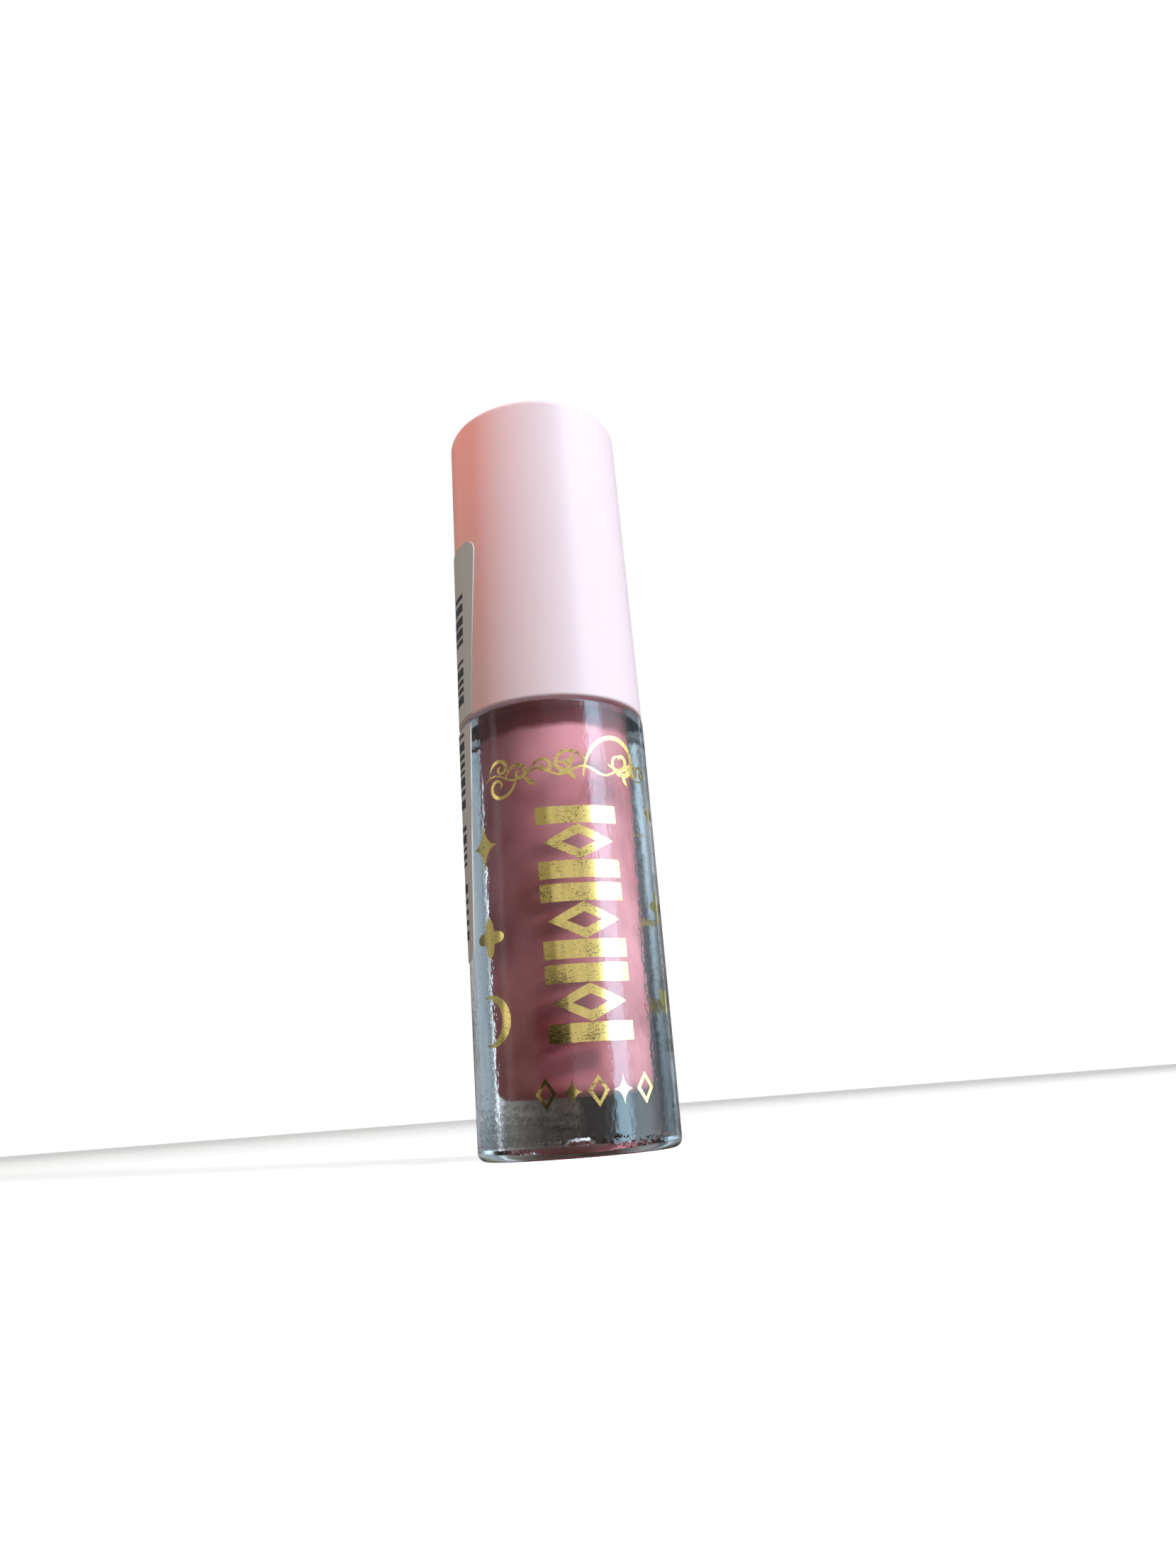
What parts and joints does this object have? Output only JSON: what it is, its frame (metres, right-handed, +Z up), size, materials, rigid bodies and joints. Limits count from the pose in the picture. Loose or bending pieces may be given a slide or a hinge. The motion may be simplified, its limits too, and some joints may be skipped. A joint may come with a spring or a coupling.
{
  "type": "lip gloss tube",
  "caption": "Round clear heavy-walled lip gloss tube with a wiper, a tall screw cap that carries a doe-foot wand, and a shade label across the joint.",
  "frame": {"origin": "on the tube's axis, in the plane that the base stands on", "axes": "+Z up along the tube's axis to the cap, -Y out of the printed front, -X out of the shade label"},
  "size_m": [0.0161, 0.016, 0.0638],
  "materials": {
    "clear_wall": "clear polished moulding, printed in gold foil",
    "wiper_plastic": "natural soft polyethylene",
    "gloss_fill": "creamy opaque mauve gloss",
    "label_paper": "coated paper sticker with dark print",
    "label_paper_upper": "coated paper sticker with dark print",
    "liner_foam": "white foamed liner",
    "inner_cap_plastic": "natural moulded polypropylene",
    "cap_shell": "pale pink polished moulding",
    "stem_plastic": "natural moulded plastic, wet with gloss",
    "tip_plastic": "moulded plastic core",
    "flock": "short nylon flock, wet with gloss"
  },
  "bodies": {
    "bottle": {"bottle": "clear_wall", "wiper": "wiper_plastic", "gloss": "gloss_fill", "label_lower": "label_paper"},
    "carrier": {"cap_liner": "liner_foam"},
    "cap": {"outer_cap": "cap_shell", "inner_cap": "inner_cap_plastic", "stem": "stem_plastic", "tip_core": "tip_plastic", "tip_flock": "flock", "label_upper": "label_paper_upper"}
  },
  "joints": [
    {"name": "cap_rise", "type": "slide", "parent": "bottle", "child": "carrier", "axis": [0, 0, 1], "range_m": [0, 0.048]},
    {"name": "cap_unscrew", "type": "hinge", "parent": "carrier", "child": "cap", "pos_m": [0, 0, 0.04], "axis": [0, 0, 1], "range_deg": [0, 5760]}
  ],
  "couplings": [
    {"joint": "cap_rise", "follows": "cap_unscrew", "m_per_rad": 0.00047746}
  ]
}
